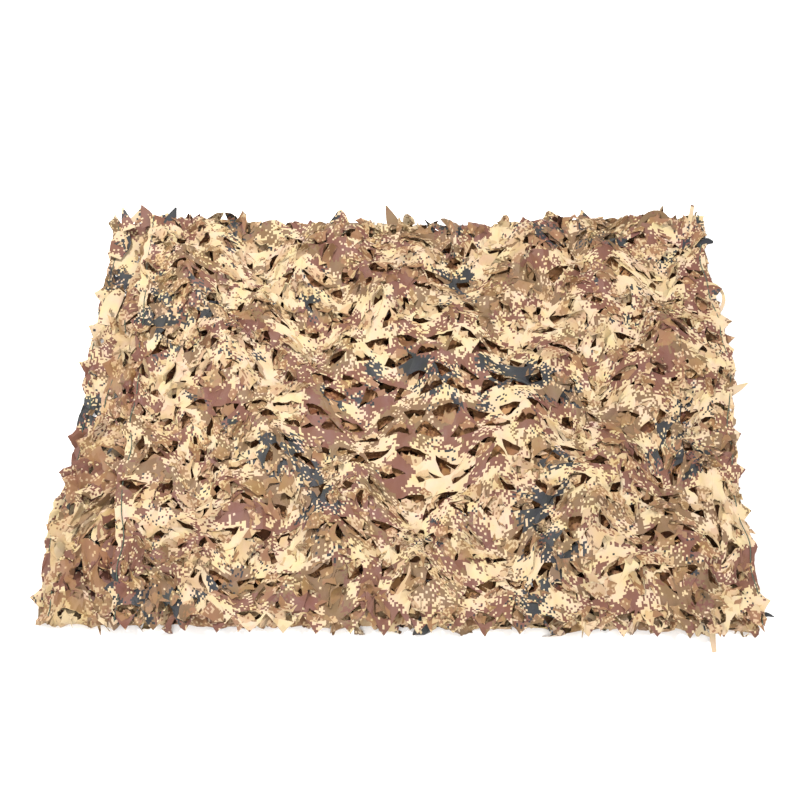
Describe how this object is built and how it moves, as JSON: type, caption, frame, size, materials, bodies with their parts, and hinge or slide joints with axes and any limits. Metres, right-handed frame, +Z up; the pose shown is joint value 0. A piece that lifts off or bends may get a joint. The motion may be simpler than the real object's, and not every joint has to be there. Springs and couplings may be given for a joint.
{
  "type": "camouflage netting",
  "caption": "Camouflage netting of incised cloth with leafy openings and ragged edges, folded back and forth and laid flat.",
  "frame": {"origin": "middle of the box round the net, at the floor that it lies on", "axes": "+X along the folds, to the right in the picture; +Y from the front fold to the back fold; +Z up through the layers"},
  "size_m": [1.4902, 1.1156, 0.0596],
  "materials": {
    "net_cloth": "smooth woven polyester, printed in sand, brown, mauve and slate",
    "cord": "twisted matt twine"
  },
  "bodies": {
    "root": {"net_cloth": "net_cloth", "selvage_cord_left": "cord", "selvage_cord_right": "cord"}
  },
  "joints": []
}
